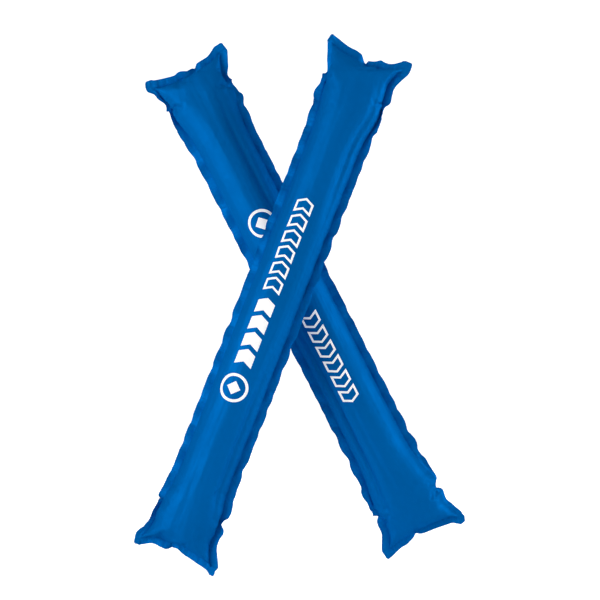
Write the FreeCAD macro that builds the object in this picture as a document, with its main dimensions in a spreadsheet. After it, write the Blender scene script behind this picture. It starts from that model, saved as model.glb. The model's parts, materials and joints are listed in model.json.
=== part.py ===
import FreeCAD, Part
import math
import os
import Sketcher

# A pair of inflatable cheering sticks, crossed in an X and standing upright.
#
# Each stick is a long bag of two plastic films, welded together all round. Blown up, it is a tube
# with a lens-shaped section, a flat welded flange down both sides and an ear at each corner.
# A two-ply valve lies inside the back film, behind the hole that takes a drinking straw.
#
# A stick's own frame: Z runs along the stick from its port end, X across it, -Y out of its face.
# The model's frame: Z up, X to the right, the faces towards -Y, and the origin in the middle of
# the floor under the pair. Sizes are in millimetres and angles in degrees.

SIZES = [
    ("stick_length", 585, "from ear tip to ear tip"),
    ("body_width", 75, "across the tube and both side flanges"),
    ("ear_width", 95, "across the ears at each end"),
    ("tube_half", 215, "half of the length over which the section stays the same"),
    ("flange_width", 9, "of the weld all round"),
    ("end_dip", 10, "how far each end curves in between its ears"),
    ("bulge", 25.5, "how far each film stands out from the weld plane"),
    ("film", 0.4, "thickness of each film"),
    ("weld_inside", 1.5, "how far the flange runs on inside the tube"),
    ("port_radius", 3.25, "of the straw hole"),
    ("port_from_end", 95, "from the port end's ear tips to the straw hole"),
    ("valve_width", 24, "of both valve plies"),
    ("valve_length", 88, "of both valve plies"),
    ("valve_before_port", 13, "length of valve between its welded end and the port"),
    ("ply", 0.3, "thickness of a valve ply"),
    ("seat_gap", 0.05, "between the back film and the valve seat"),
    ("flap_gap", 0.25, "between the valve seat and the valve flap"),
    ("ink", 0.2, "thickness of the print"),
    ("ink_gap", 0.02, "between the face film and the print"),
    ("print_half", 9.5, "half of the print's width across the stick"),
    ("print_raise", 5, "how far a chevron's point rises over its ends"),
    ("badge_radius", 15.5, "of the ring at the start of the print"),
    ("badge_line", 3, "width of the ring"),
    ("badge_diamond", 7.5, "from the middle of the badge's diamond to its points"),
    ("badge_height", -97, "centre of the ring above the middle of the stick"),
    ("bold_start", -72, "lowest point of the first bold chevron"),
    ("bold_stroke", 14, "height of a bold chevron's arm"),
    ("bold_pitch", 19.5, "from one bold chevron to the next"),
    ("open_start", 12, "lowest point of the first open chevron"),
    ("open_stroke", 13, "height of an open chevron's arm"),
    ("open_line", 2.2, "line width of an open chevron"),
    ("open_pitch", 18, "from one open chevron to the next"),
    ("left_tilt", 21.2, "of the front stick, clockwise from upright as seen from the front"),
    ("right_tilt", 153, "of the rear stick, which hangs with its port end up"),
    ("left_roll", -14, "of the front stick about its own length, its face to the left"),
    ("right_roll", 7, "of the rear stick about its own length, its face to the left"),
    ("left_crossing", 43.3, "from the middle of the front stick to the crossing"),
    ("right_crossing", -42, "from the middle of the rear stick to the crossing"),
    ("crossing_gap", 0.6, "between the two tubes where they cross"),
]
BOLD_CHEVRONS = 4
OPEN_CHEVRONS = 6
LOFT_STEPS = 4

FACE = -1
BACK = 1

document = FreeCAD.newDocument("cheering_sticks")


def write_sheet():
    """Keep the driving dimensions in a spreadsheet, one row for each."""
    sheet = document.addObject("Spreadsheet::Sheet", "Sizes")
    for row, (alias, number, meaning) in enumerate(SIZES, start=1):
        sheet.set(f"A{row}", alias)
        sheet.set(f"B{row}", str(number))
        sheet.set(f"C{row}", meaning)
        sheet.setAlias(f"B{row}", alias)
    document.recompute()
    return sheet


sizes = write_sheet()


def worked_out(expression):
    """The number that an expression over the sheet comes to."""
    return float(sizes.evalExpression(expression))


# ---- expressions shared by several pieces -------------------------------------------------------

HALF_LENGTH = "Sizes.stick_length / 2"
HALF_BODY = "Sizes.body_width / 2"
HALF_EAR = "Sizes.ear_width / 2"
SEAL_HALF = "(Sizes.body_width / 2 - Sizes.flange_width)"
SEAL_END = "(Sizes.stick_length / 2 - Sizes.end_dip - Sizes.flange_width)"
EAR_FLARE = "((Sizes.ear_width - Sizes.body_width) / 2)"
EAR_RUN = "(Sizes.stick_length / 2 - Sizes.tube_half)"
PORT_HEIGHT = "(Sizes.port_from_end - Sizes.stick_length / 2)"


def arc_radius(half_chord, rise):
    """Radius of the arc over a chord with a known rise."""
    return f"((({half_chord})^2 + ({rise})^2) / (2 * ({rise})))"


FLARE_RADIUS = arc_radius(EAR_RUN, EAR_FLARE)
TUBE_RADIUS = arc_radius(SEAL_HALF, "Sizes.bulge")


def flare_at(height_over_tube):
    """How far an edge has flared out at a height over the end of the even tube."""
    return f"({FLARE_RADIUS} - sqrt(({FLARE_RADIUS})^2 - ({height_over_tube})^2))"


# ---- sketch helpers ------------------------------------------------------------------------------

def new_sketch(body, name, plane, height="0"):
    """A sketch on one of the body's own origin planes, moved along the plane's normal."""
    sketch = body.newObject("Sketcher::SketchObject", name)
    origin_plane = next(item for item in body.Origin.OriginFeatures if item.Role == plane)
    sketch.AttachmentSupport = [(origin_plane, "")]
    sketch.MapMode = "FlatFace"
    sketch.setExpression("AttachmentOffset.Base.z", f"({height}) * 1 mm")
    return sketch


def bind(sketch, constraint, expression, unit="mm"):
    """Add a dimension to a sketch and bind it to the sheet."""
    index = sketch.addConstraint(constraint)
    sketch.setExpression(f"Constraints[{index}]", f"({expression}) * 1 {unit}")


def arc_between(start, end, radius, turn):
    """The arc of a radius from start to end: turn 1 goes anticlockwise, -1 goes clockwise."""
    chord = end.sub(start)
    middle = start.add(end).multiply(0.5)
    normal = FreeCAD.Vector(-chord.y, chord.x, 0).normalize()
    centre = middle.add(normal.multiply(turn * math.sqrt(radius ** 2 - (chord.Length / 2) ** 2)))
    first, last = (start, end) if turn > 0 else (end, start)
    first_angle = math.atan2(first.y - centre.y, first.x - centre.x)
    last_angle = math.atan2(last.y - centre.y, last.x - centre.x)
    circle = Part.Circle(centre, FreeCAD.Vector(0, 0, 1), radius)
    return Part.ArcOfCircle(circle, first_angle, last_angle)


def draw_outline(sketch, corners, arcs=None):
    """Draw a closed outline whose corners are expressions.

    arcs gives, for the edge that starts at a corner, its radius and its turn. Other edges are
    straight."""
    arcs = arcs or {}
    points = [FreeCAD.Vector(worked_out(x), worked_out(y), 0) for x, y in corners]
    start_ends = []
    for index, start in enumerate(points):
        end = points[(index + 1) % len(points)]
        if index in arcs:
            radius, turn = arcs[index]
            edge = sketch.addGeometry(arc_between(start, end, worked_out(radius), turn))
            bind(sketch, Sketcher.Constraint("Radius", edge, worked_out(radius)), radius)
            start_ends.append((edge, 1, 2) if turn > 0 else (edge, 2, 1))
        else:
            edge = sketch.addGeometry(Part.LineSegment(start, end))
            start_ends.append((edge, 1, 2))
    for index, (x, y) in enumerate(corners):
        edge, start_end, _ = start_ends[index]
        before, _, last_end = start_ends[index - 1]
        sketch.addConstraint(Sketcher.Constraint("Coincident", before, last_end, edge, start_end))
        point = points[index]
        bind(sketch, Sketcher.Constraint("DistanceX", -1, 1, edge, start_end, point.x), x)
        bind(sketch, Sketcher.Constraint("DistanceY", -1, 1, edge, start_end, point.y), y)


def draw_circle(sketch, x, y, radius):
    """Draw a circle whose centre and radius are expressions."""
    centre = FreeCAD.Vector(worked_out(x), worked_out(y), 0)
    number = worked_out(radius)
    circle = sketch.addGeometry(Part.Circle(centre, FreeCAD.Vector(0, 0, 1), number))
    bind(sketch, Sketcher.Constraint("DistanceX", -1, 1, circle, 3, centre.x), x)
    bind(sketch, Sketcher.Constraint("DistanceY", -1, 1, circle, 3, centre.y), y)
    bind(sketch, Sketcher.Constraint("Radius", circle, number), radius)


def pad(body, sketch, length):
    """Pad a sketch along its normal."""
    feature = body.newObject("PartDesign::Pad", sketch.Name + "_pad")
    feature.Profile = sketch
    feature.setExpression("Length", f"({length}) * 1 mm")
    sketch.Visibility = False
    document.recompute()
    return feature


def pocket(body, sketch):
    """Cut a sketch right through, both ways, and make sure that it cut."""
    before = body.Shape.Volume
    feature = body.newObject("PartDesign::Pocket", sketch.Name + "_pocket")
    feature.Profile = sketch
    feature.Type = "ThroughAll"
    feature.Midplane = True
    sketch.Visibility = False
    document.recompute()
    if body.Shape.Volume >= before:
        raise RuntimeError(f"{feature.Name} cut nothing")
    return feature


def new_body(label, separate_marks=False):
    """A body for one sub-part, which is one solid unless it is a set of separate marks."""
    body = document.addObject("PartDesign::Body", label)
    body.Label = label
    body.AllowCompound = separate_marks
    return body


# ---- film panels ---------------------------------------------------------------------------------

def crescent(body, name, side, height, half_width, rise):
    """Section of a film that bulges to one side of the weld plane."""
    sketch = new_sketch(body, name, "XY_Plane", height)
    outer = arc_radius(half_width, rise)
    inner = f"({outer} - Sizes.film)"
    inner_half = f"sqrt({inner}^2 - ({outer} - ({rise}))^2)"
    corners = [
        (f"-({half_width})", "0"),
        (half_width, "0"),
        (inner_half, "0"),
        (f"-{inner_half}", "0"),
    ]
    draw_outline(sketch, corners, {0: (outer, -side), 2: (inner, side)})
    return sketch


def tube_end(body, side):
    """Loft the film from the even tube, flattening and widening, down to the end weld."""
    sections = []
    for step in range(LOFT_STEPS + 1):
        share = f"({step} / {LOFT_STEPS})"
        over_tube = f"{share} * ({SEAL_END} - Sizes.tube_half)"
        half_width = f"({SEAL_HALF} + {flare_at(over_tube)})"
        rise = f"(2 * Sizes.film + (Sizes.bulge - 2 * Sizes.film) * (1 - {share}^2))"
        height = f"Sizes.tube_half + {over_tube}"
        sections.append(crescent(body, f"{body.Name}_end_{step}", side, height, half_width, rise))
    loft = body.newObject("PartDesign::AdditiveLoft", f"{body.Name}_end_loft")
    loft.Profile = sections[0]
    loft.Sections = sections[1:]
    for section in sections:
        section.Visibility = False
    document.recompute()
    return loft


def flange(body, side):
    """Flat welded flange round the upper half of the stick, with its two ears."""
    sketch = new_sketch(body, f"{body.Name}_flange", "XZ_Plane")
    inside = "Sizes.weld_inside"
    inner_run = f"({SEAL_END} - {inside} - Sizes.tube_half)"
    inner_half = f"({SEAL_HALF} - {inside})"
    inner_end = f"({inner_half} + {flare_at(inner_run)})"
    corners = [
        (HALF_BODY, "0"),
        (HALF_BODY, "Sizes.tube_half"),
        (HALF_EAR, HALF_LENGTH),
        (f"-{HALF_EAR}", HALF_LENGTH),
        (f"-{HALF_BODY}", "Sizes.tube_half"),
        (f"-{HALF_BODY}", "0"),
        (f"-{inner_half}", "0"),
        (f"-{inner_half}", "Sizes.tube_half"),
        (f"-{inner_end}", f"{SEAL_END} - {inside}"),
        (inner_end, f"{SEAL_END} - {inside}"),
        (inner_half, "Sizes.tube_half"),
        (inner_half, "0"),
    ]
    end_radius = arc_radius(HALF_EAR, "Sizes.end_dip")
    arcs = {
        1: (FLARE_RADIUS, -1),
        2: (end_radius, -1),
        3: (FLARE_RADIUS, -1),
        7: (FLARE_RADIUS, 1),
        9: (FLARE_RADIUS, 1),
    }
    draw_outline(sketch, corners, arcs)
    plate = pad(body, sketch, "Sizes.film")
    plate.Reversed = side == BACK
    document.recompute()
    return plate


def film_panel(label, side):
    """One film: even tube, tapered end and flange, mirrored to the other half of the stick."""
    body = new_body(label)
    tube_sketch = crescent(body, f"{label}_tube", side, "0", SEAL_HALF, "Sizes.bulge")
    features = [
        pad(body, tube_sketch, "Sizes.tube_half"),
        tube_end(body, side),
        flange(body, side),
    ]
    mirrored = body.newObject("PartDesign::Mirrored", f"{label}_lower_half")
    mirrored.Originals = features
    middle_plane = next(item for item in body.Origin.OriginFeatures if item.Role == "XY_Plane")
    mirrored.MirrorPlane = (middle_plane, [""])
    body.Tip = mirrored
    document.recompute()
    return body


def straw_port(body):
    """Round hole for the straw."""
    sketch = new_sketch(body, f"{body.Name}_port", "XZ_Plane")
    draw_circle(sketch, "0", PORT_HEIGHT, "Sizes.port_radius")
    pocket(body, sketch)


# ---- valve ---------------------------------------------------------------------------------------

def valve_ply(label, depth):
    """A strip of thin film that follows the inside of the back film at a depth under its skin."""
    body = new_body(label)
    start = f"{PORT_HEIGHT} - Sizes.valve_before_port"
    sketch = new_sketch(body, f"{label}_section", "XY_Plane", start)
    half = "(Sizes.valve_width / 2)"
    centre_depth = f"({TUBE_RADIUS} - Sizes.bulge)"
    outer = f"({TUBE_RADIUS} - ({depth}))"
    inner = f"({outer} - Sizes.ply)"
    outer_edge = f"sqrt({outer}^2 - {half}^2) - {centre_depth}"
    inner_edge = f"sqrt({inner}^2 - {half}^2) - {centre_depth}"
    corners = [
        (f"-{half}", outer_edge),
        (half, outer_edge),
        (half, inner_edge),
        (f"-{half}", inner_edge),
    ]
    draw_outline(sketch, corners, {0: (outer, -1), 2: (inner, 1)})
    pad(body, sketch, "Sizes.valve_length")
    return body


def valve_seat(label):
    """Outer ply, welded to the back film, with a hole in line with the straw port."""
    body = valve_ply(label, "Sizes.film + Sizes.seat_gap")
    straw_port(body)
    return body


def valve_flap(label):
    """Inner ply, which the air presses against the seat."""
    return valve_ply(label, "Sizes.film + Sizes.seat_gap + Sizes.ply + Sizes.flap_gap")


# ---- print ---------------------------------------------------------------------------------------

def draw_chevron(sketch, start, stroke, inset="0"):
    """Draw a chevron that points up the stick, or the same shape a line's width further in."""
    half = "Sizes.print_half"
    slope = f"(Sizes.print_raise / {half})"
    step = f"({inset}) * sqrt(1 + {slope}^2)"
    arm_half = f"({half} - ({inset}))"
    low_edge = f"{start} + {slope} * ({inset}) + {step}"
    low_point = f"{start} + Sizes.print_raise + {step}"
    high_edge = f"{start} + {stroke} + {slope} * ({inset}) - {step}"
    high_point = f"{start} + {stroke} + Sizes.print_raise - {step}"
    corners = [
        (f"-{arm_half}", low_edge),
        ("0", low_point),
        (arm_half, low_edge),
        (arm_half, high_edge),
        ("0", high_point),
        (f"-{arm_half}", high_edge),
    ]
    draw_outline(sketch, corners)


def draw_badge(sketch):
    """Draw a ring with a diamond in it."""
    middle = "Sizes.badge_height"
    point = "Sizes.badge_diamond"
    draw_circle(sketch, "0", middle, "Sizes.badge_radius")
    draw_circle(sketch, "0", middle, "Sizes.badge_radius - Sizes.badge_line")
    corners = [
        ("0", f"{middle} - {point}"),
        (point, middle),
        ("0", f"{middle} + {point}"),
        (f"-{point}", middle),
    ]
    draw_outline(sketch, corners)


def repeat_up(body, feature, pitch, count):
    """Repeat a mark up the stick."""
    pattern = body.newObject("PartDesign::LinearPattern", feature.Name + "_row")
    pattern.Originals = [feature]
    up_axis = next(item for item in body.Origin.OriginFeatures if item.Role == "Z_Axis")
    pattern.Direction = (up_axis, [""])
    pattern.Occurrences = count
    pattern.setExpression("Length", f"{pitch} * {count - 1} * 1 mm")
    body.Tip = pattern
    document.recompute()


def trim_to_ink(body):
    """Cut the marks down to a thin layer that follows the face film."""
    centre_depth = f"({TUBE_RADIUS} - Sizes.bulge)"
    film_side = f"({TUBE_RADIUS} + Sizes.ink_gap)"
    under = new_sketch(body, f"{body.Name}_under", "XY_Plane")
    draw_circle(under, "0", centre_depth, film_side)
    pocket(body, under)
    over = new_sketch(body, f"{body.Name}_over", "XY_Plane")
    far = "Sizes.body_width"
    draw_outline(over, [(f"-{far}", f"-{far}"), (far, f"-{far}"), (far, far), (f"-{far}", far)])
    draw_circle(over, "0", centre_depth, f"({film_side} + Sizes.ink)")
    pocket(body, over)


def face_print(label):
    """A diamond in a ring, then a row of bold chevrons and a row of open ones."""
    body = new_body(label, separate_marks=True)
    reach = "Sizes.bulge + 5 * Sizes.ink"
    badge = new_sketch(body, f"{label}_badge", "XZ_Plane")
    draw_badge(badge)
    pad(body, badge, reach)
    bold = new_sketch(body, f"{label}_bold", "XZ_Plane")
    draw_chevron(bold, "Sizes.bold_start", "Sizes.bold_stroke")
    repeat_up(body, pad(body, bold, reach), "Sizes.bold_pitch", BOLD_CHEVRONS)
    outlined = new_sketch(body, f"{label}_open", "XZ_Plane")
    draw_chevron(outlined, "Sizes.open_start", "Sizes.open_stroke")
    draw_chevron(outlined, "Sizes.open_start", "Sizes.open_stroke", "Sizes.open_line")
    repeat_up(body, pad(body, outlined, reach), "Sizes.open_pitch", OPEN_CHEVRONS)
    trim_to_ink(body)
    return body


# ---- the pair ------------------------------------------------------------------------------------

def stick(name):
    """The five pieces of one stick, in the stick's own frame."""
    back = film_panel(f"{name}_back_film", BACK)
    straw_port(back)
    return [
        film_panel(f"{name}_face_film", FACE),
        back,
        valve_seat(f"{name}_valve_seat"),
        valve_flap(f"{name}_valve_flap"),
        face_print(f"{name}_print"),
    ]


def half_depth(roll):
    """How far a rolled tube reaches from its own axis towards the other stick."""
    radius = worked_out(TUBE_RADIUS)
    return radius - (radius - worked_out("Sizes.bulge")) * math.cos(math.radians(roll))


def place_stick(pieces, name, forward):
    """Tilt a stick and set it in front of (1) or behind (-1) the crossing, which is at zero."""
    roll = worked_out(f"Sizes.{name}_roll")
    turn = FreeCAD.Rotation(FreeCAD.Vector(0, 1, 0), worked_out(f"Sizes.{name}_tilt"))
    turn = turn * FreeCAD.Rotation(FreeCAD.Vector(0, 0, 1), roll)
    along = turn.multVec(FreeCAD.Vector(0, 0, -worked_out(f"Sizes.{name}_crossing")))
    offset = half_depth(roll) + worked_out("Sizes.crossing_gap / 2")
    centre = along + FreeCAD.Vector(0, -forward * offset, 0)
    for piece in pieces:
        piece.Placement = FreeCAD.Placement(centre, turn)


def stand_on_origin(pieces):
    """Move everything so that the origin is under the middle of the pair, at its lowest point."""
    box = FreeCAD.BoundBox()
    for piece in pieces:
        box.add(piece.Shape.optimalBoundingBox())
    shift = FreeCAD.Placement(FreeCAD.Vector(-box.Center.x, -box.Center.y, -box.ZMin),
                              FreeCAD.Rotation())
    for piece in pieces:
        piece.Placement = shift * piece.Placement


def check_document(pieces):
    """Stop if any object has failed or any piece has no valid solid."""
    for item in document.Objects:
        if "Invalid" in item.State or "Error" in item.State:
            raise RuntimeError(f"{item.Name} failed: {item.State}")
    for piece in pieces:
        if piece.Shape.isNull() or not piece.Shape.isValid() or not piece.Shape.Solids:
            raise RuntimeError(f"{piece.Label} has no valid solid")


left_stick = stick("left_stick")
right_stick = stick("right_stick")
place_stick(left_stick, "left", 1)
place_stick(right_stick, "right", -1)
document.recompute()
all_pieces = left_stick + right_stick
stand_on_origin(all_pieces)
document.recompute()
check_document(all_pieces)
os.makedirs("parts", exist_ok=True)
for one_piece in all_pieces:
    one_piece.Shape.exportStep(f"parts/{one_piece.Label}.step")
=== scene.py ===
import json
import math

import bpy
import numpy as np
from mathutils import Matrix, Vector


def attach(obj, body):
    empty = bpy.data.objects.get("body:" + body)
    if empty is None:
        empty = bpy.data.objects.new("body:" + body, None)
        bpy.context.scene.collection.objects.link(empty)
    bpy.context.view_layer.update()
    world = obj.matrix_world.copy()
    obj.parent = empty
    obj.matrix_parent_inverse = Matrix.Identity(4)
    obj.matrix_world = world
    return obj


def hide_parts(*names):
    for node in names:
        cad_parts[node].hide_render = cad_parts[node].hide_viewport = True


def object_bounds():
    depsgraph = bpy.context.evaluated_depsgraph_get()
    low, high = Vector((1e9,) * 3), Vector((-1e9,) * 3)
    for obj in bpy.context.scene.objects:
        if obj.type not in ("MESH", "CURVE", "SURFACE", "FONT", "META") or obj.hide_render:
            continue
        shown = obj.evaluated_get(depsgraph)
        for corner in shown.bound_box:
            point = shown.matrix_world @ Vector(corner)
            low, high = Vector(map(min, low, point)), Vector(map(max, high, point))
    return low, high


# Two inflatable cheering sticks, crossed in an X.
#
# Each stick starts as two flat films, welded together round their edges, and is blown up by cloth
# simulation. The result is fitted to the stick's CAD films. Every visible piece is then laid out
# flat, in film coordinates: u runs across the film and v runs along it, both in metres from the
# film's middle. A Sheet maps them to space.

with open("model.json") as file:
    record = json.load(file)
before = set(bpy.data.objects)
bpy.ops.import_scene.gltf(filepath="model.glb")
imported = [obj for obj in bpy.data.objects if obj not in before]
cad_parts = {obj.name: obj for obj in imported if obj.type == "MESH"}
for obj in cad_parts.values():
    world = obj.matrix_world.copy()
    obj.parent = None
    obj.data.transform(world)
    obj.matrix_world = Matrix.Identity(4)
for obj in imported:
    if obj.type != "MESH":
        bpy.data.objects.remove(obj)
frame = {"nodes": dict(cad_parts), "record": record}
cad_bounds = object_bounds()
mounts = {mount["name"]: mount for mount in frame["record"]["mounts"]}

FACE = -1
BACK = 1

# ---- the flat films, in metres -------------------------------------------------------------------
FILM_WIDTH = 0.102
FILM_LENGTH = 0.600
FLANGE = 0.009
CELL = 0.003
FLANGE_CELLS = round(FLANGE / CELL)
CORNER_RADIUS = 0.003
FILM_THICKNESS = 0.00015
PLY_THICKNESS = 0.0001
INK_THICKNESS = 0.00008
# Half the gap between the two films where they are welded, so that they don't share a surface.
SKIN_GAP = 0.00001
SHARP_ANGLE = math.radians(50)

# ---- how each stick was blown up ------------------------------------------------------------------
# The flanges are scalloped: PITCH is from one scallop to the next, WAVE how far the edge swings.
PITCH, WAVE = 0.029, 0.006
END_PITCH, END_WAVE = 0.040, 0.006
# How much the pitch varies, as shares of itself, and the lowest scallop, as a share of the highest.
PITCH_SPREAD = (0.75, 1.25)
LOWEST_SCALLOP = 0.55
LEFT_SEEDS = {"low": 7, "high": 5}
RIGHT_SEEDS = {"low": 6, "high": 7}
# Before the air goes in, the films already stand a little apart, and are never quite even. They
# close up over PUFF_END of their length at each end.
FIRST_PUFF, PUFF_END, UNEVEN = 0.004, 0.125, 0.0001

# How far the ears reach from a stick's end, the share of its length that has no flare, and the
# share of an ear's distance from the axis that counts as the dip between two ears.
EAR_REACH = 0.040
STRAIGHT_SHARE = 0.75
DIP_SHARE = 0.2
# How much of the ears' extra width a stick has, at distances from its end.
FLARE = [(0.012, 1.05), (0.022, 0.60), (0.032, 0.22), (0.060, 0.28), (0.100, 0.0)]
# How much of its lean out of the stick's plane a side flange keeps, how much narrower it gets
# where it leaned most, and how far the ears and end flanges are pressed flat.
LEANING = 0.7
DRAWN_IN, DEEPEST = 1.1, 0.35
PRESSED = 0.8

# Soft folds along the face films: half a fold's width, then u at the fold's middle, v at its two
# ends, and its depth.
FOLD_HALF = 0.0032
LEFT_FOLDS = [(0.026, -0.275, -0.040, 0.0024), (0.025, 0.090, 0.275, 0.0020)]
RIGHT_FOLDS = [(-0.018, -0.280, 0.000, 0.0030), (-0.029, -0.200, 0.000, 0.0018),
               (0.019, 0.000, 0.275, 0.0048), (0.004, 0.060, 0.270, 0.0012)]

# One fold in each end flange, low and high: half its width, then u at its middle, and how far it
# is turned to the back, where 1 is straight back.
END_FOLD_HALF = 0.004
LEFT_END_FOLDS = [(-0.006, 0.50), (-0.004, 0.80)]
RIGHT_END_FOLDS = [(-0.009, 0.65), (0.0085, 0.45)]


# ---- cloth simulation ------------------------------------------------------------------------------
# The cloth solver is steadiest at about the size of clothes, so the films are blown up at ten
# times their size.
SIM_SCALE = 10.0
SIM_FRAMES, QUICK_FRAMES = 40, 2
CLOTH = {
    "quality": 6, "mass": 0.1, "air_damping": 1.0,
    "tension_stiffness": 80, "compression_stiffness": 80, "shear_stiffness": 40,
    "bending_stiffness": 0.5,
    "tension_damping": 5, "compression_damping": 5, "shear_damping": 5, "bending_damping": 0.5,
    "use_pressure": True, "uniform_pressure_force": 5,
}


def grid_lines(full):
    """Places of the grid lines across a film, with one on each weld line."""
    inner = full - 2 * FLANGE
    inner_cells = round(inner / CELL)
    low = np.linspace(-full / 2, -inner / 2, FLANGE_CELLS + 1)
    middle = np.linspace(-inner / 2, inner / 2, inner_cells + 1)
    return np.concatenate([low[:-1], middle, -low[::-1][1:]])


def wander(rng, distance, pitch):
    """A wave along an edge, from 0 at distance 0, whose pitch and height wander between -1 and 1."""
    count = int(2 * distance.max() / pitch) + 8
    turning = np.cumsum(rng.uniform(*PITCH_SPREAD, count)) * pitch / 2
    turning -= turning[0]
    heights = rng.uniform(LOWEST_SCALLOP, 1.0, count) * np.where(np.arange(count) % 2, 1, -1)
    heights *= rng.choice([-1, 1])
    heights[0] = 0
    place = np.interp(distance, turning, np.arange(count))
    index = np.clip(place.astype(int), 0, count - 2)
    ease = (1 - np.cos(np.pi * (place - index))) / 2
    return heights[index] * (1 - ease) + heights[index + 1] * ease


def waves_and_bumps(u, v, seeds):
    """How far the flanges wave out of their plane, and how uneven each film is, over the grid."""
    grid_u, grid_v = np.meshgrid(u, v, indexing="ij")
    over_side = np.clip((np.abs(grid_u) - u[-1 - FLANGE_CELLS]) / FLANGE, 0, 1)
    over_end = np.clip((np.abs(grid_v) - v[-1 - FLANGE_CELLS]) / FLANGE, 0, 1)
    waves = np.zeros(grid_u.shape)
    bumps = np.zeros((2,) + grid_u.shape)
    for seed, half in ((seeds["low"], grid_v < 0), (seeds["high"], grid_v >= 0)):
        rng = np.random.default_rng(seed)
        left_side = wander(rng, np.abs(v), PITCH)
        right_side = wander(rng, np.abs(v), PITCH)
        end = wander(rng, u - u[0], END_PITCH)
        side = np.where(grid_u < 0, left_side[None, :], right_side[None, :])
        wave = WAVE * side * over_side * (1 - over_end)
        wave += END_WAVE * end[:, None] * over_end * (1 - over_side)
        waves[half] = wave[half]
        bumps[:, half] = rng.normal(0, UNEVEN, bumps.shape)[:, half]
    return waves, bumps


def flat_bag(seeds):
    """The two flat films as one mesh: start points, rest points, faces and both point grids."""
    u, v = grid_lines(FILM_WIDTH), grid_lines(FILM_LENGTH)
    grid_u, grid_v = np.meshgrid(u, v, indexing="ij")
    front = np.arange(grid_u.size).reshape(grid_u.shape)
    last_u, last_v = len(u) - 1 - FLANGE_CELLS, len(v) - 1 - FLANGE_CELLS
    inside = np.zeros(front.shape, bool)
    inside[FLANGE_CELLS + 1:last_u, FLANGE_CELLS + 1:last_v] = True
    rear = front.copy()
    rear[inside] = np.arange(front.size, front.size + inside.sum())

    waves, bumps = waves_and_bumps(u, v, seeds)
    rest = np.zeros((front.size + inside.sum(), 3))
    for sheet in (front, rear):
        rest[sheet.ravel(), 0] = grid_u.ravel()
        rest[sheet.ravel(), 2] = grid_v.ravel()
    start = rest.copy()
    rest[front.ravel(), 1] = waves.ravel()
    start[front.ravel(), 1] = waves.ravel() / 2
    share_u = np.clip((grid_u + u[last_u]) / (2 * u[last_u]), 0, 1)
    share_v = np.clip((v[last_v] - np.abs(grid_v)) / (2 * v[last_v]), 0, 1)
    puff = FIRST_PUFF * np.sin(np.pi * share_u) * np.minimum(1, share_v / PUFF_END)
    start[front.ravel(), 1] += bumps[0].ravel()
    start[front[inside], 1] -= puff[inside]
    start[rear[inside], 1] += (puff + bumps[1])[inside]

    faces = []
    for i in range(len(u) - 1):
        for j in range(len(v) - 1):
            faces.append((front[i, j], front[i + 1, j], front[i + 1, j + 1], front[i, j + 1]))
            if FLANGE_CELLS <= i < last_u and FLANGE_CELLS <= j < last_v:
                faces.append((rear[i, j], rear[i, j + 1], rear[i + 1, j + 1], rear[i + 1, j]))
    return start, rest, faces, front, rear


def mesh_object(name, points, faces):
    """A mesh object in the scene."""
    mesh = bpy.data.meshes.new(name)
    mesh.from_pydata([tuple(point) for point in points], [],
                     [tuple(int(corner) for corner in face) for face in faces])
    item = bpy.data.objects.new(name, mesh)
    bpy.context.scene.collection.objects.link(item)
    return item


def points_of(mesh):
    """A mesh's points as an array."""
    flat = np.empty(len(mesh.vertices) * 3, np.float32)
    mesh.vertices.foreach_get("co", flat)
    return flat.reshape(-1, 3).astype(float)


def inflate(seeds):
    """Blow a flat bag up and return its front and rear films as grids of points."""
    start, rest, faces, front, rear = flat_bag(seeds)
    bag = mesh_object("bag", start * SIM_SCALE, faces)
    bag.shape_key_add(name="Basis")
    rest_key = bag.shape_key_add(name="rest")
    rest_key.data.foreach_set("co", (rest * SIM_SCALE).ravel())
    rest_key.value = 0
    chamber = bag.vertex_groups.new(name="chamber")
    inner = slice(FLANGE_CELLS, -FLANGE_CELLS)
    enclosed = np.union1d(front[inner, inner], rear[inner, inner])
    chamber.add([int(index) for index in enclosed], 1.0, "REPLACE")

    cloth = bag.modifiers.new("cloth", "CLOTH")
    settings = cloth.settings
    for setting, value in CLOTH.items():
        setattr(settings, setting, value)
    settings.rest_shape_key = rest_key
    settings.vertex_group_pressure = chamber.name
    settings.effector_weights.gravity = 0
    cloth.collision_settings.use_collision = False
    cloth.collision_settings.use_self_collision = False
    cloth.point_cache.frame_start = 1
    cloth.point_cache.frame_end = SIM_FRAMES
    scene = bpy.context.scene
    scene.frame_start = 1
    scene.frame_end = SIM_FRAMES
    frames = SIM_FRAMES
    for number in range(1, frames + 1):
        scene.frame_set(number)
    blown = bag.evaluated_get(bpy.context.evaluated_depsgraph_get())
    points = points_of(blown.data) / SIM_SCALE
    bpy.data.objects.remove(bag)
    scene.frame_set(1)
    return points[front], points[rear]


# ---- from the frame: where each stick is -----------------------------------------------------------

def stick_axes(side):
    """A stick's own axes, its middle and its CAD films' points in them, from the films and mounts."""
    back = np.array(mounts[f"{side}_straw_port"]["axis"])
    along = np.array(mounts[f"{side}_grip"]["axis"])
    films = np.concatenate([points_of(frame["nodes"][f"{side}_stick_{film}"].data)
                            for film in ("face_film", "back_film")])
    reach = films @ along
    port = np.array(mounts[f"{side}_straw_port"]["pos_m"]) @ along
    if port > (reach.min() + reach.max()) / 2:
        along = -along
    axes = np.array([np.cross(back, along), back, along])
    local = films @ axes.T
    middle = (local.min(0) + local.max(0)) / 2
    return axes, middle, local - middle


def to_frame(grid, axes, middle):
    """Grid points from a stick's own axes to the frame that it shares with the CAD."""
    return (grid + middle) @ axes


def fit_size(films, cad):
    """Centre a blown-up stick and give it the size of the CAD stick."""
    both = np.concatenate([film.reshape(-1, 3) for film in films])
    middle = (both.min(0) + both.max(0)) / 2
    scale = (cad.max(0) - cad.min(0)) / (both.max(0) - both.min(0))
    return [(film - middle) * scale for film in films]


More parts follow.
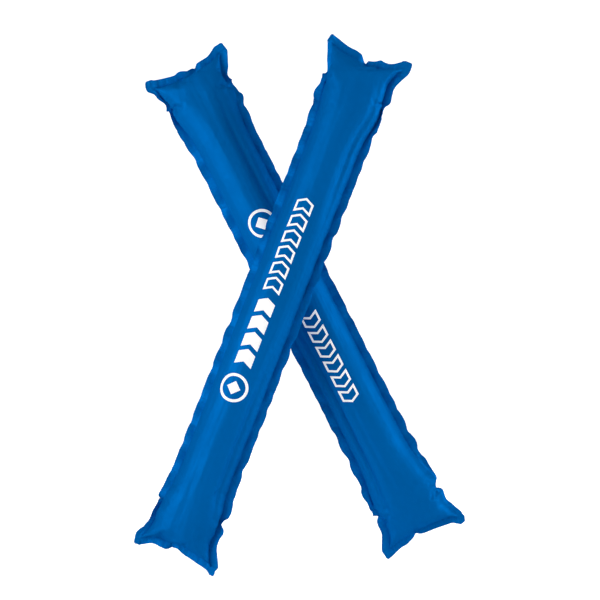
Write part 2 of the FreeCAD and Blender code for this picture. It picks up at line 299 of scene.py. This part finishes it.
def fit_width(films, cad):
    """Straighten a stick and give it its width over the flanges, row by row, from its ends inwards."""
    tube = np.abs(cad[:, 2]) < STRAIGHT_SHARE * cad[:, 2].max()
    body_width = 2 * np.abs(cad[tube, 0]).max()
    ear_width = 2 * cad[:, 0].max()
    low_edge, high_edge = films[0][0], films[0][-1]
    from_end = cad[:, 2].max() - np.abs(low_edge[:, 2] + high_edge[:, 2]) / 2
    places, widths = zip(*FLARE)
    wanted = body_width + (ear_width - body_width) * np.interp(from_end, places, widths)
    width = smooth(high_edge[:, 0] - low_edge[:, 0])
    centre = smooth((high_edge[:, 0] + low_edge[:, 0]) / 2)
    for film in films:
        film[..., 0] = (film[..., 0] - centre) * wanted / width


def smooth(values):
    """A running mean over about one scallop, which leaves the scallops themselves alone."""
    reach = round(PITCH / CELL / 2)
    padded = np.pad(values, reach, mode="edge")
    return np.convolve(padded, np.ones(2 * reach + 1) / (2 * reach + 1), mode="valid")


def fit_ends(films, cad):
    """Give both ends the dip between the ears that the CAD stick has."""
    tip = cad[cad[:, 2].argmax()]
    near_axis = np.abs(cad[:, 0]) < DIP_SHARE * abs(tip[0])
    dip = tip[2] - cad[near_axis, 2].max()
    for end, last in ((-1, 0), (1, -1)):
        edge = films[0][:, last]
        wanted = tip[2] - dip * (1 - np.clip(edge[:, 0] / tip[0], -1, 1) ** 2)
        shift = end * wanted - smooth(edge[:, 2])
        for film in films:
            film[..., 2] += near_end(film, end, tip[2]) * shift[:, None]


def near_end(film, end, half_length):
    """How much of an end's own correction each point takes: all at the end, none past its ears."""
    return np.clip((film[..., 2] * end - half_length + EAR_REACH) / EAR_REACH, 0, 1) ** 2


def fit_ears(films, cad):
    """Pull the tips of the four ears to where the CAD stick has them."""
    half_length = cad[:, 2].max()
    for side, end in ((a, b) for a in (-1, 1) for b in (-1, 1)):
        towards = np.array([side, 0, end])
        wanted = cad[(cad @ towards).argmax()]
        tips = [film.reshape(-1, 3)[(film @ towards).argmax()] for film in films]
        tip = max(tips, key=lambda point: point @ towards)
        pull = (wanted - tip) * (1, 0, 1)
        for film in films:
            across = np.clip(film[..., 0] / tip[0], 0, 1)
            film += (across * near_end(film, end, half_length))[..., None] * pull


def lengths_of(offsets):
    """The length of each offset in a row of them."""
    return np.linalg.norm(offsets, axis=1, keepdims=True)


def turn_flange(films, lines, redirect, drawn_in=0.0):
    """Turn a flange about its weld line, which comes first in lines.

    Where it leaned out of the stick's plane, it is also drawn in, by up to DEEPEST of its width."""
    hinge = films[0][lines[0]].copy()
    for line in lines[1:]:
        offset = films[0][line] - hinge
        length = lengths_of(offset)
        lean = offset[:, 1:2] / length
        turned = redirect(offset, length)
        turned *= length * (1 - np.minimum(drawn_in * lean ** 2, DEEPEST)) / lengths_of(turned)
        for film in films:
            film[line] = hinge + turned


def set_flanges(films, end_folds):
    """Draw the side flanges into scallops, flatten the ears, and leave one fold in each end flange."""
    past_neck = np.abs(grid_lines(FILM_LENGTH)) - FILM_LENGTH / 2 + EAR_REACH
    pressed = PRESSED * np.clip(past_neck / EAR_REACH, 0, 1)[:, None]
    for out, weld, (place, turn) in zip((-1, 1), (FLANGE_CELLS, -1 - FLANGE_CELLS), end_folds):
        fold = turn * np.exp(-((grid_lines(FILM_WIDTH) - place) / END_FOLD_HALF) ** 2)[:, None]
        turn_flange(films, [np.s_[weld + out * step] for step in range(FLANGE_CELLS + 1)],
                    lambda offset, length: (offset * (1, LEANING, 1) * (1 - pressed)
                                            + length * pressed * (out, 0, 0)), DRAWN_IN)
        turn_flange(films, [np.s_[:, weld + out * step] for step in range(FLANGE_CELLS + 1)],
                    lambda offset, length: (offset * (1 - PRESSED) + length * PRESSED
                                            * ((1 - fold) * (0, 0, out) + fold * (0, BACK, 0))))
    # Each corner carries on both of the flanges that meet there.
    outside = [(FLANGE_CELLS, slice(0, FLANGE_CELLS)), (-1 - FLANGE_CELLS, slice(-FLANGE_CELLS, None))]
    for film in films:
        for weld_u, outer_u in outside:
            for weld_v, outer_v in outside:
                film[outer_u, outer_v] = (film[outer_u, [weld_v]] + film[[weld_u], outer_v]
                                          - film[weld_u, weld_v])


def fit(films, cad, end_folds):
    """Give a blown-up stick the size and outline of the CAD stick."""
    set_flanges(films, end_folds)
    films = fit_size(films, cad)
    fit_width(films, cad)
    fit_ends(films, cad)
    fit_ears(films, cad)
    return films


# ---- sheets: from film coordinates to space --------------------------------------------------------

def refine_line(points):
    """Put a point between each two along the first axis, by the four-point rule."""
    before = np.concatenate([2 * points[:1] - points[1:2], points[:-2]])
    after = np.concatenate([points[2:], 2 * points[-1:] - points[-2:-1]])
    between = (9 * (points[:-1] + points[1:]) - before - after) / 16
    line = np.empty((2 * len(points) - 1,) + points.shape[1:])
    line[::2] = points
    line[1::2] = between
    return line


def refine(points):
    """Refine along the first axis in three runs, so that the film keeps its bend at each weld."""
    first, last = FLANGE_CELLS, len(points) - 1 - FLANGE_CELLS
    runs = [points[:first + 1], points[first:last + 1], points[last:]]
    fine = [refine_line(run) for run in runs]
    return np.concatenate([fine[0][:-1], fine[1], fine[2][1:]])


class Sheet:
    """A film in space, read at film coordinates."""

    def __init__(self, points, side, folds=()):
        fine = refine(points)
        fine = refine(fine.transpose(1, 0, 2)).transpose(1, 0, 2)
        self.side = side
        self.u = refine(grid_lines(FILM_WIDTH)[:, None])[:, 0]
        self.v = refine(grid_lines(FILM_LENGTH)[:, None])[:, 0]
        self.points = fine - self.normals_of(fine) * self.fold_depth(folds)[..., None]
        self.normals = self.normals_of(self.points)

    def normals_of(self, points):
        """Unit normals at the grid points, on the side of the film that is seen."""
        across = np.gradient(points, axis=0)
        along = np.gradient(points, axis=1)
        normals = -self.side * np.cross(across, along)
        return normals / np.linalg.norm(normals, axis=2, keepdims=True)

    def fold_depth(self, folds):
        """How deep the soft folds are at the grid points."""
        depth = np.zeros((len(self.u), len(self.v)))
        for place, start, stop, deepest in folds:
            across = np.exp(-((self.u - place) / FOLD_HALF) ** 2)
            along = np.sin(np.pi * np.clip((self.v - start) / (stop - start), 0, 1))
            depth += deepest * across[:, None] * along[None, :]
        return depth

    def at(self, flat, lift):
        """Points in space for film coordinates, lifted off the film."""
        place_u = np.interp(flat[:, 0], self.u, np.arange(len(self.u)))
        place_v = np.interp(flat[:, 1], self.v, np.arange(len(self.v)))
        i = np.clip(place_u.astype(int), 0, len(self.u) - 2)
        j = np.clip(place_v.astype(int), 0, len(self.v) - 2)
        s = (place_u - i)[:, None]
        t = (place_v - j)[:, None]
        raised = self.points + lift * self.normals
        near = raised[i, j] * (1 - s) + raised[i + 1, j] * s
        far = raised[i, j + 1] * (1 - s) + raised[i + 1, j + 1] * s
        return near * (1 - t) + far * t

    def coordinates_of(self, point):
        """Film coordinates of the grid point nearest to a point in space."""
        distance = np.linalg.norm(self.points - point, axis=2)
        i, j = np.unravel_index(distance.argmin(), distance.shape)
        return np.array([self.u[i], self.v[j]])


def film_solid(name, sheet, layouts, low, high):
    """A thin closed solid from flat layouts, between two heights over the film."""
    points, faces, coordinates, total = [], [], [], 0
    for flat, cells in layouts:
        count = len(flat)
        points += [sheet.at(flat, high), sheet.at(flat, low)]
        coordinates += [flat, flat]
        edges = {}
        for cell in cells:
            loop = cell if sheet.side == FACE else cell[::-1]
            faces.append(tuple(total + corner for corner in loop))
            faces.append(tuple(total + count + corner for corner in reversed(loop)))
            for first, second in zip(loop, loop[1:] + loop[:1]):
                if (second, first) in edges:
                    del edges[(second, first)]
                else:
                    edges[(first, second)] = True
        for first, second in edges:
            faces.append((total + second, total + first,
                          total + count + first, total + count + second))
        total += 2 * count
    item = mesh_object(name, np.concatenate(points), faces)
    add_film_coordinates(item, np.concatenate(coordinates))
    item.data.polygons.foreach_set("use_smooth", [True] * len(item.data.polygons))
    item.data.set_sharp_from_angle(angle=SHARP_ANGLE)
    return item


def add_film_coordinates(item, flat):
    """Give the materials the film coordinates, as a UV map in metres."""
    corners = np.empty(len(item.data.loops), np.int32)
    item.data.loops.foreach_get("vertex_index", corners)
    layer = item.data.uv_layers.new(name="film")
    layer.data.foreach_set("uv", flat[corners].astype(np.float32).ravel())


# ---- flat layouts: points in film coordinates and the cells between them ---------------------------
# A round hole takes a square block of cells, this much wider than the hole on each side, and is
# joined to it by rings, at these shares of the way from the block to the hole.
HOLE_MARGIN = 0.8 * CELL
HOLE_RINGS = (0.4, 0.75, 1.0)


def patch(corners, steps):
    """A four-sided patch between corners given anticlockwise, cut into steps each way."""
    low_left, low_right, high_right, high_left = (np.array(corner) for corner in corners)
    across, along = steps
    flat = []
    for j in range(along + 1):
        for i in range(across + 1):
            s, t = i / across, j / along
            low = low_left * (1 - s) + low_right * s
            high = high_left * (1 - s) + high_right * s
            flat.append(low * (1 - t) + high * t)
    row = across + 1
    cells = [(j * row + i, j * row + i + 1, (j + 1) * row + i + 1, (j + 1) * row + i)
             for j in range(along) for i in range(across)]
    return np.array(flat), cells


def round_corners(flat):
    """Pull a film's four square corners in to round ones."""
    half = np.array([FILM_WIDTH, FILM_LENGTH]) / 2
    into = np.clip((np.abs(flat) - half + CORNER_RADIUS) / CORNER_RADIUS, 0, 1)
    rounded = into * np.sqrt(1 - into[:, ::-1] ** 2 / 2)
    return flat + np.sign(flat) * (rounded - into) * CORNER_RADIUS


def grid_layout(u, v, hole=None, radius=0.0):
    """A grid of cells, with a round hole fitted into a square block of them."""
    flat = [(a, b) for a in u for b in v]
    rows = len(v)
    block = None
    if hole is not None:
        reach = radius + HOLE_MARGIN
        block = [int(np.searchsorted(u, hole[0] - reach)) - 1, int(np.searchsorted(u, hole[0] + reach)),
                 int(np.searchsorted(v, hole[1] - reach)) - 1, int(np.searchsorted(v, hole[1] + reach))]
    cells = []
    for i in range(len(u) - 1):
        for j in range(rows - 1):
            if block and block[0] <= i < block[1] and block[2] <= j < block[3]:
                continue
            cells.append((i * rows + j, (i + 1) * rows + j, (i + 1) * rows + j + 1, i * rows + j + 1))
    if block:
        left, right, low, high = block
        ring = [i * rows + low for i in range(left, right)]
        ring += [right * rows + j for j in range(low, high)]
        ring += [i * rows + high for i in range(right, left, -1)]
        ring += [left * rows + j for j in range(high, low, -1)]
        outer = np.array([flat[index] for index in ring])
        away = outer - hole
        circle = hole + radius * away / np.linalg.norm(away, axis=1, keepdims=True)
        for share in HOLE_RINGS:
            inner = [len(flat) + index for index in range(len(ring))]
            flat += [tuple(point) for point in outer * (1 - share) + circle * share]
            following = ring[1:] + ring[:1]
            inner_following = inner[1:] + inner[:1]
            cells += list(zip(ring, following, inner_following, inner))
            ring = inner
    return np.array(flat), cells


# ---- print ------------------------------------------------------------------------------------------
# Half the print's width, and how far a chevron's point stands above its arms' ends.
PRINT_HALF = 0.0095
PRINT_RAISE = 0.005
BADGE_HEIGHT = -0.097
BADGE_RADIUS = 0.0155
BADGE_LINE = 0.003
BADGE_DIAMOND = 0.0075
BOLD_START, BOLD_STROKE, BOLD_PITCH, BOLD_COUNT = -0.072, 0.014, 0.0195, 4
OPEN_START, OPEN_STROKE, OPEN_PITCH, OPEN_COUNT = 0.012, 0.013, 0.018, 6
OPEN_LINE = 0.0022
# Cells round the ring and across its line, in each side of an open chevron and across its line,
# across and along a bold chevron, and along each side of the diamond.
RING_STEPS, RING_ACROSS = 90, 3
SIDE_STEPS, SIDE_ACROSS = 10, 2
BOLD_STEPS = (16, 12)
DIAMOND_STEPS = (8, 8)


def band(outer, inner, across):
    """A closed band of cells between two outlines with the same number of points, anticlockwise."""
    count = len(outer)
    flat = np.concatenate([outer * (1 - share) + inner * share
                           for share in np.linspace(0, 1, across + 1)])
    cells = [(m * count + k, m * count + (k + 1) % count,
              (m + 1) * count + (k + 1) % count, (m + 1) * count + k)
             for m in range(across) for k in range(count)]
    return flat, cells


def badge_ring():
    """The ring round the badge."""
    angles = np.arange(RING_STEPS) * 2 * np.pi / RING_STEPS
    around = np.stack([np.cos(angles), np.sin(angles)], axis=1)
    middle = np.array([0, BADGE_HEIGHT])
    return band(middle + BADGE_RADIUS * around, middle + (BADGE_RADIUS - BADGE_LINE) * around,
                RING_ACROSS)


def chevron_corners(start, inset=0.0):
    """Corners of an open chevron, anticlockwise from its low left one, drawn in by inset."""
    slope = PRINT_RAISE / PRINT_HALF
    step = inset * math.hypot(1, slope)
    half = PRINT_HALF - inset
    low = start + slope * inset + step
    high = start + OPEN_STROKE + slope * inset - step
    low_point = start + PRINT_RAISE + step
    high_point = start + OPEN_STROKE + PRINT_RAISE - step
    return [(-half, low), (0, low_point), (half, low), (half, high), (0, high_point), (-half, high)]


def bold_chevron(start):
    """A solid chevron: a block of cells, raised towards its middle."""
    flat, cells = grid_layout(np.linspace(-PRINT_HALF, PRINT_HALF, BOLD_STEPS[0] + 1),
                              np.linspace(start, start + BOLD_STROKE, BOLD_STEPS[1] + 1))
    flat[:, 1] += PRINT_RAISE * (1 - np.abs(flat[:, 0]) / PRINT_HALF)
    return flat, cells


def outline(corners):
    """Points along a closed outline, SIDE_STEPS of them from each corner to the next."""
    shares = np.arange(SIDE_STEPS)[:, None] / SIDE_STEPS
    corners = np.array(corners)
    return np.concatenate([corner * (1 - shares) + following * shares
                           for corner, following in zip(corners, np.roll(corners, -1, axis=0))])


def open_chevron(start):
    """The outline of a chevron."""
    outer = chevron_corners(start)
    inner = chevron_corners(start, OPEN_LINE)
    return band(outline(outer), outline(inner), SIDE_ACROSS)


def print_layouts():
    """Badge, bold chevrons and open chevrons."""
    point = BADGE_DIAMOND
    middle = BADGE_HEIGHT
    diamond = [(0, middle - point), (point, middle), (0, middle + point), (-point, middle)]
    layouts = [badge_ring(), patch(diamond, DIAMOND_STEPS)]
    layouts += [bold_chevron(BOLD_START + index * BOLD_PITCH) for index in range(BOLD_COUNT)]
    layouts += [open_chevron(OPEN_START + index * OPEN_PITCH) for index in range(OPEN_COUNT)]
    return layouts


# ---- materials ---------------------------------------------------------------------------------------
# Heights are in metres. Rates are how often a pattern repeats in a metre, across and along the film.
# NOISE_LOW and NOISE_HIGH are the values that nearly all of a noise pattern lies between.
NOISE_LOW, NOISE_HIGH = 0.3, 0.7
FILM_GREEN, FILM_BLUE = 0.127, 0.435
FILM_METALLIC = 0.35
FILM_SHEEN_TINT = (0.0, 0.55, 1.0, 1)
FILM_ROUGHNESS, ROUGHNESS_RATES = (0.48, 0.58), (60, 40)
FILM_SHADE, SHADE_RATES = (0.94, 1.06), (9, 5)
# Painted light on the flanges: their colour is made this much brighter, against the darkening that the
# tube throws on them.
FLANGE_PAINTED_LIGHT = 0.12
# How far to each side of a weld line the film turns from loose to welded.
WELD_BLUR = 0.0005
LONG_FOLD_HEIGHT, LONG_FOLD_RATES = 0.0022, (70, 5)
# Puckers run out from the welds, and fade over their reach.
PUCKER_HEIGHT = 0.0015
SIDE_PUCKER_RATES, SIDE_PUCKER_REACH = (25, 170), 0.016
END_PUCKER_RATES, END_PUCKER_REACH = (170, 25), 0.022
CRINKLE_HEIGHT, CRINKLE_RATES = 0.0003, (160, 110)
KNURL_HEIGHT, KNURLS_PER_METRE = 0.0001, 900
# The ink covers fully where its noise is over INK_FULL.
INK_COVER, INK_RATES, INK_FULL = (0.90, 0.97), (150, 150), 0.6
# The ink glows this much in its own colour: painted light that lifts it to full white.
INK_PAINTED_GLOW = 0.2
INK_ROUGHNESS, INK_SPECULAR = 0.5, 0.2
VALVE_COLOUR = {"Red": (0.66, 0.76), "Green": (0.70, 0.80), "Blue": (0.74, 0.82)}
VALVE_LINE_HEIGHT, VALVE_LINE_RATES = 0.00005, (900, 40)
VALVE_ROUGHNESS = 0.35


def new_material(name):
    """A material with an empty node tree but for its shader."""
    material = bpy.data.materials.new(name)
    material.use_nodes = True
    return material, material.node_tree


def maths(tree, operation, *values):
    """The output of a maths node; each value is a number or another node's output."""
    node = tree.nodes.new("ShaderNodeMath")
    node.operation = operation
    for socket, value in zip(node.inputs, values):
        if isinstance(value, (int, float)):
            socket.default_value = value
        else:
            tree.links.new(value, socket)
    return node.outputs[0]


def ramp(tree, value, low, high, low_result, high_result):
    """A value mapped smoothly from one range to another, and held at its ends."""
    node = tree.nodes.new("ShaderNodeMapRange")
    node.interpolation_type = "SMOOTHSTEP"
    tree.links.new(value, node.inputs["Value"])
    for name, number in (("From Min", low), ("From Max", high),
                         ("To Min", low_result), ("To Max", high_result)):
        node.inputs[name].default_value = number
    return node.outputs["Result"]


def film_coordinates(tree):
    """The film coordinates, in metres, as a vector and as u and v."""
    place = tree.nodes.new("ShaderNodeUVMap")
    place.uv_map = "film"
    parts = tree.nodes.new("ShaderNodeSeparateXYZ")
    tree.links.new(place.outputs["UV"], parts.inputs["Vector"])
    return place.outputs["UV"], parts.outputs["X"], parts.outputs["Y"]


def noise(tree, coordinates, per_metre, detail=2.0):
    """Noise between 0 and 1, with its own rate across and along the film."""
    scaled = tree.nodes.new("ShaderNodeVectorMath")
    scaled.operation = "MULTIPLY"
    scaled.inputs[1].default_value = (per_metre[0], per_metre[1], 1)
    tree.links.new(coordinates, scaled.inputs[0])
    texture = tree.nodes.new("ShaderNodeTexNoise")
    texture.inputs["Scale"].default_value = 1.0
    texture.inputs["Detail"].default_value = detail
    tree.links.new(scaled.outputs["Vector"], texture.inputs["Vector"])
    return texture.outputs["Fac"]


def bump(tree, height, distance, under=None):
    """A normal bent by a height between 0 and 1; distance is the height of 1, in metres."""
    node = tree.nodes.new("ShaderNodeBump")
    node.inputs["Strength"].default_value = 1.0
    node.inputs["Distance"].default_value = distance
    tree.links.new(height, node.inputs["Height"])
    if under is not None:
        tree.links.new(under, node.inputs["Normal"])
    return node.outputs["Normal"]


def film_material():
    """Satin blue polyethylene film, puckered along its welds and knurled where it is welded, with
    painted light that brightens its flanges.
    """
    material, tree = new_material("film")
    shader = tree.nodes["Principled BSDF"]
    coordinates, u, v = film_coordinates(tree)
    past_side = maths(tree, "SUBTRACT", maths(tree, "ABSOLUTE", u), FILM_WIDTH / 2 - FLANGE)
    past_end = maths(tree, "SUBTRACT", maths(tree, "ABSOLUTE", v), FILM_LENGTH / 2 - FLANGE)
    past_weld = maths(tree, "MAXIMUM", past_side, past_end)
    on_flange = ramp(tree, past_weld, -WELD_BLUR, WELD_BLUR, 0, 1)

    long_folds = noise(tree, coordinates, LONG_FOLD_RATES)
    side_puckers = maths(tree, "MULTIPLY", noise(tree, coordinates, SIDE_PUCKER_RATES),
                         ramp(tree, past_side, -SIDE_PUCKER_REACH, 0, 0, 1))
    end_puckers = maths(tree, "MULTIPLY", noise(tree, coordinates, END_PUCKER_RATES),
                        ramp(tree, past_end, -END_PUCKER_REACH, 0, 0, 1))
    knurl = tree.nodes.new("ShaderNodeTexVoronoi")
    knurl.inputs["Scale"].default_value = KNURLS_PER_METRE
    tree.links.new(coordinates, knurl.inputs["Vector"])
    seal = maths(tree, "MULTIPLY", knurl.outputs["Distance"], on_flange)
    crinkles = noise(tree, coordinates, CRINKLE_RATES, detail=3)
    normal = bump(tree, long_folds, LONG_FOLD_HEIGHT)
    normal = bump(tree, side_puckers, PUCKER_HEIGHT, normal)
    normal = bump(tree, end_puckers, PUCKER_HEIGHT, normal)
    normal = bump(tree, crinkles, CRINKLE_HEIGHT, normal)
    normal = bump(tree, seal, KNURL_HEIGHT, normal)
    tree.links.new(normal, shader.inputs["Normal"])

    # The colour wanders at random within FILM_SHADE, and is brightened on the flanges by painted light.
    patches = noise(tree, coordinates, SHADE_RATES)
    tone_and_painted_flange_light = maths(tree, "MULTIPLY", ramp(tree, patches, NOISE_LOW, NOISE_HIGH, *FILM_SHADE),
                  maths(tree, "ADD", 1.0, maths(tree, "MULTIPLY", on_flange, FLANGE_PAINTED_LIGHT)))
    colour = tree.nodes.new("ShaderNodeCombineColor")
    tree.links.new(maths(tree, "MULTIPLY", tone_and_painted_flange_light, FILM_GREEN), colour.inputs["Green"])
    tree.links.new(maths(tree, "MULTIPLY", tone_and_painted_flange_light, FILM_BLUE), colour.inputs["Blue"])
    tree.links.new(colour.outputs["Color"], shader.inputs["Base Color"])
    sheen = noise(tree, coordinates, ROUGHNESS_RATES, detail=4)
    tree.links.new(ramp(tree, sheen, NOISE_LOW, NOISE_HIGH, *FILM_ROUGHNESS),
                   shader.inputs["Roughness"])
    shader.inputs["Metallic"].default_value = FILM_METALLIC
    shader.inputs["Specular IOR Level"].default_value = 0.0
    shader.inputs["Specular Tint"].default_value = FILM_SHEEN_TINT
    return material


def ink_material():
    """White film ink, a little thinner in places, with a painted glow that lifts it to full white."""
    material, tree = new_material("ink")
    shader = tree.nodes["Principled BSDF"]
    coordinates, _, _ = film_coordinates(tree)
    thickness = noise(tree, coordinates, INK_RATES, detail=3)
    cover = ramp(tree, thickness, NOISE_LOW, INK_FULL, *INK_COVER)
    colour = tree.nodes.new("ShaderNodeCombineColor")
    for channel in ("Red", "Green", "Blue"):
        tree.links.new(cover, colour.inputs[channel])
    tree.links.new(colour.outputs["Color"], shader.inputs["Base Color"])
    # Painted light: the ink glows in its own colour.
    tree.links.new(colour.outputs["Color"], shader.inputs["Emission Color"])
    shader.inputs["Emission Strength"].default_value = INK_PAINTED_GLOW
    shader.inputs["Roughness"].default_value = INK_ROUGHNESS
    shader.inputs["Specular IOR Level"].default_value = INK_SPECULAR
    return material


def valve_material():
    """Milky clear valve film, with faint lines along it."""
    material, tree = new_material("valve_film")
    shader = tree.nodes["Principled BSDF"]
    coordinates, _, _ = film_coordinates(tree)
    lines = noise(tree, coordinates, VALVE_LINE_RATES)
    colour = tree.nodes.new("ShaderNodeCombineColor")
    for channel, (low, high) in VALVE_COLOUR.items():
        tree.links.new(ramp(tree, lines, NOISE_LOW, NOISE_HIGH, low, high), colour.inputs[channel])
    tree.links.new(colour.outputs["Color"], shader.inputs["Base Color"])
    tree.links.new(bump(tree, lines, VALVE_LINE_HEIGHT), shader.inputs["Normal"])
    shader.inputs["Roughness"].default_value = VALVE_ROUGHNESS
    return material


materials = {"film": film_material(), "ink": ink_material(), "valve_film": valve_material()}


# ---- sticks -------------------------------------------------------------------------------------------
PORT_RADIUS = mounts["left_straw_port"]["dims"]["r_mm"] / 1000
# Half the width of the valve's plies, how far they reach along the stick to either side of the
# port, their cells across and along, and how deep under the back film each lies.
VALVE_HALF = 0.012
VALVE_BEFORE, VALVE_AFTER = 0.013, 0.075
VALVE_CELLS = (16, 59)
SEAT_DEPTH, FLAP_DEPTH = -0.00005, -0.0003


def finish_piece(item, node, body, slot):
    """Give a piece its material and body, and let it stand for its CAD node."""
    item.data.materials.append(materials[slot])
    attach(item, body)
    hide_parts(node)


def valve_ply(name, sheet, port, depth, hole):
    """One ply of the valve, close under the back film."""
    u = np.linspace(port[0] - VALVE_HALF, port[0] + VALVE_HALF, VALVE_CELLS[0] + 1)
    v = np.linspace(port[1] - VALVE_BEFORE, port[1] + VALVE_AFTER, VALVE_CELLS[1] + 1)
    layout = grid_layout(u, v, port if hole else None, PORT_RADIUS)
    return film_solid(name, sheet, [layout], depth - PLY_THICKNESS, depth)


def build_stick(side, seeds, folds, end_folds):
    """All pieces of one stick."""
    axes, middle, cad = stick_axes(side)
    front, rear = fit(inflate(seeds), cad, end_folds)
    face = Sheet(to_frame(front, axes, middle), FACE, folds)
    back = Sheet(to_frame(rear, axes, middle), BACK)
    stick = f"{side}_stick"
    port = back.coordinates_of(np.array(mounts[f"{side}_straw_port"]["pos_m"]))
    top = SKIN_GAP + FILM_THICKNESS
    flat, cells = grid_layout(face.u, face.v)
    item = film_solid(f"{stick}_face", face, [(round_corners(flat), cells)], SKIN_GAP, top)
    finish_piece(item, f"{stick}_face_film", stick, "film")
    flat, cells = grid_layout(back.u, back.v, port, PORT_RADIUS)
    item = film_solid(f"{stick}_back", back, [(round_corners(flat), cells)], SKIN_GAP, top)
    finish_piece(item, f"{stick}_back_film", stick, "film")
    item = film_solid(f"{stick}_marks", face, print_layouts(), top, top + INK_THICKNESS)
    finish_piece(item, f"{stick}_print", stick, "ink")
    item = valve_ply(f"{stick}_seat", back, port, SEAT_DEPTH, hole=True)
    finish_piece(item, f"{stick}_valve_seat", stick, "valve_film")
    item = valve_ply(f"{stick}_flap", back, port, FLAP_DEPTH, hole=False)
    finish_piece(item, f"{stick}_valve_flap", f"{side}_flap", "valve_film")


build_stick("left", LEFT_SEEDS, LEFT_FOLDS, LEFT_END_FOLDS)
build_stick("right", RIGHT_SEEDS, RIGHT_FOLDS, RIGHT_END_FOLDS)


# ---- stage, light and camera --------------------------------------------------------------------------
low_corner, high_corner = (Vector(corner) for corner in cad_bounds)
centre = (low_corner + high_corner) / 2
height = high_corner.z - low_corner.z
# Distances and sizes of the stage and lights are in heights of the pair.
BACKDROP, BEND, BEND_STEPS = 6 * height, 1.5 * height, 12
FLOOR_SIDE = 3 * BACKDROP
FLOOR_COLOUR, FLOOR_ROUGHNESS, FLOOR_GLOW = (0.9, 0.9, 0.9, 1), 0.9, 0.68
WORLD_LIGHT, WORLD_SEEN = 0.45, 1.0
WHITE = (1, 1, 1, 1)
# Name, place from the pair's middle, width and height, and power in watts.
LIGHTS = [("key", (-2.6, -1.7, 0.3), (1.4, 2.4), 17.5),
          ("side", (2.5, -0.4, 0.6), (0.8, 2.4), 12),
          ("rear", (-0.8, 2.8, 1.2), (1.6, 1.6), 12)]
CAMERA_DISTANCE = 4 * height
CAMERA_LENS, CAMERA_SENSOR = 129, 36
CAMERA_SHIFT = (-0.0015, 0.007)


def floor_sweep():
    """A pale floor that curves up into a backdrop."""
    profile = [(-FLOOR_SIDE, 0.0), (BACKDROP - BEND, 0.0)]
    for step in range(1, BEND_STEPS + 1):
        angle = math.pi / 2 * step / BEND_STEPS
        profile.append((BACKDROP - BEND + BEND * math.sin(angle), BEND * (1 - math.cos(angle))))
    profile.append((BACKDROP, 2 * BACKDROP))
    points = [(x, y, z) for x in (-FLOOR_SIDE, FLOOR_SIDE) for y, z in profile]
    count = len(profile)
    faces = [(k, k + 1, count + k + 1, count + k) for k in range(count - 1)]
    sweep = mesh_object("floor", points, faces)
    sweep.data.polygons.foreach_set("use_smooth", [True] * len(faces))
    material, tree = new_material("floor")
    shader = tree.nodes["Principled BSDF"]
    shader.inputs["Base Color"].default_value = FLOOR_COLOUR
    shader.inputs["Roughness"].default_value = FLOOR_ROUGHNESS
    shader.inputs["Emission Color"].default_value = WHITE
    rays = tree.nodes.new("ShaderNodeLightPath")
    tree.links.new(maths(tree, "MULTIPLY", rays.outputs["Is Camera Ray"], FLOOR_GLOW),
                   shader.inputs["Emission Strength"])
    sweep.data.materials.append(material)


def soft_light(name, place, size, power):
    """A soft box aimed at the middle of the pair."""
    data = bpy.data.lights.new(name, "AREA")
    data.shape = "RECTANGLE"
    data.size, data.size_y = size[0] * height, size[1] * height
    data.energy = power
    lamp = bpy.data.objects.new(name, data)
    bpy.context.scene.collection.objects.link(lamp)
    lamp.location = centre + Vector(place) * height
    lamp.rotation_euler = (centre - lamp.location).to_track_quat("-Z", "Y").to_euler()


def white_world():
    """Even white light from all round; the camera sees it brighter than the pair does."""
    world = bpy.data.worlds.new("studio")
    world.use_nodes = True
    tree = world.node_tree
    rays = tree.nodes.new("ShaderNodeLightPath")
    tree.links.new(ramp(tree, rays.outputs["Is Camera Ray"], 0, 1, WORLD_LIGHT, WORLD_SEEN),
                   tree.nodes["Background"].inputs["Strength"])
    tree.nodes["Background"].inputs["Color"].default_value = WHITE
    bpy.context.scene.world = world


def straight_camera():
    """A long lens, level with the middle of the pair and straight on to its faces."""
    data = bpy.data.cameras.new("camera")
    data.lens = CAMERA_LENS
    data.sensor_width = CAMERA_SENSOR
    data.shift_x, data.shift_y = CAMERA_SHIFT
    camera = bpy.data.objects.new("camera", data)
    bpy.context.scene.collection.objects.link(camera)
    camera.location = Vector((centre.x, centre.y - CAMERA_DISTANCE, centre.z))
    camera.rotation_euler = (math.pi / 2, 0, 0)
    bpy.context.scene.camera = camera


floor_sweep()
white_world()
for light in LIGHTS:
    soft_light(*light)
straight_camera()
bpy.context.scene.view_settings.view_transform = "Standard"
